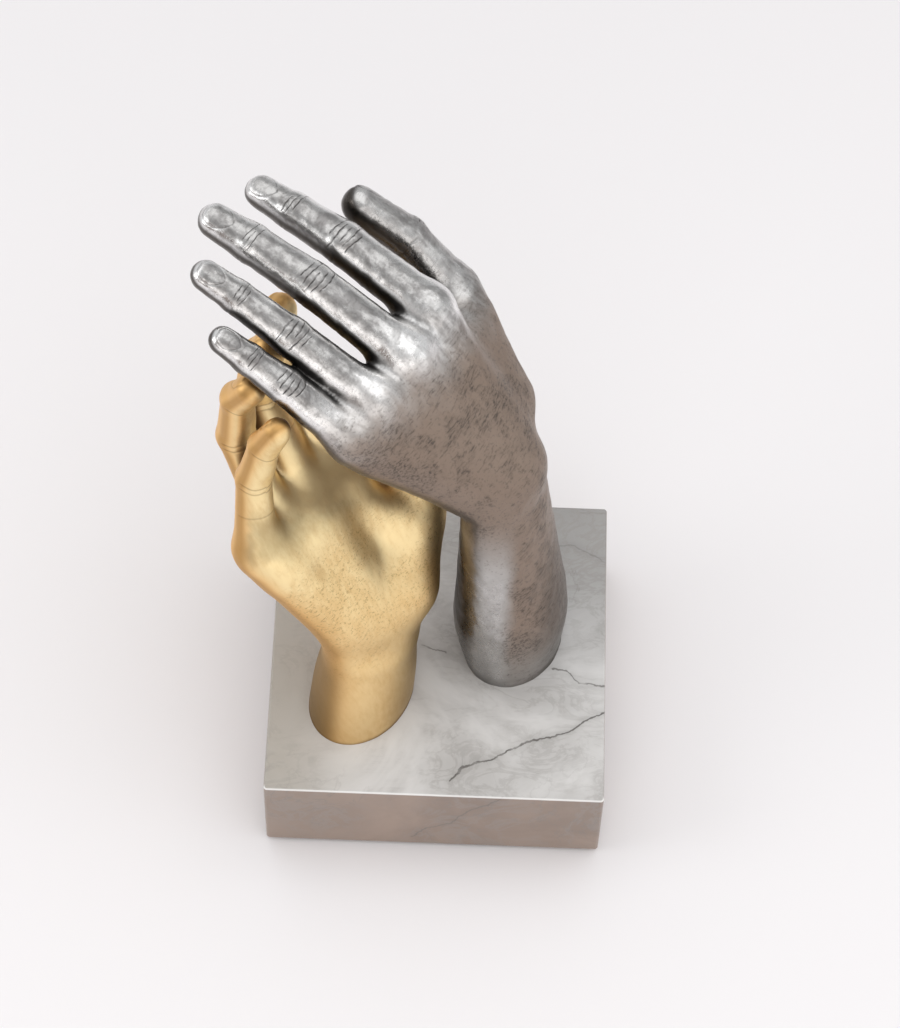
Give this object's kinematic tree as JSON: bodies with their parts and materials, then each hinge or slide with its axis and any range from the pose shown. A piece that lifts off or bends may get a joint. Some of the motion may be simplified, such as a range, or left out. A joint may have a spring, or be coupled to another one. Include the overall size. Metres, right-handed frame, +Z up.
{
  "type": "hand sculpture trophy",
  "caption": "Trophy of a silver hand and a gold hand that rise from a square marble base and face each other palm to palm.",
  "frame": {"origin": "centre of the underside of the felt pad, on the surface that the trophy stands on", "axes": "+Z up, +X to the viewer's right when the silver hand's back faces the viewer, +Y away from the viewer"},
  "size_m": [0.1809, 0.189, 0.2717],
  "materials": {
    "pad_felt": "matt black felt",
    "marble": "honed light grey marble with thin dark veins",
    "silver_finish": "antique silver plating on cast resin",
    "gold_finish": "satin pale gold plating on cast resin",
    "zinc_steel": "zinc plated"
  },
  "bodies": {
    "root": {"base_pad": "pad_felt", "marble_base": "marble", "silver_hand": "silver_finish", "gold_hand": "gold_finish", "silver_stud": "zinc_steel", "silver_washer": "zinc_steel", "silver_lock_washer": "zinc_steel", "silver_nut": "zinc_steel", "silver_dowel": "zinc_steel", "gold_stud": "zinc_steel", "gold_washer": "zinc_steel", "gold_lock_washer": "zinc_steel", "gold_nut": "zinc_steel", "gold_dowel": "zinc_steel"}
  },
  "joints": []
}
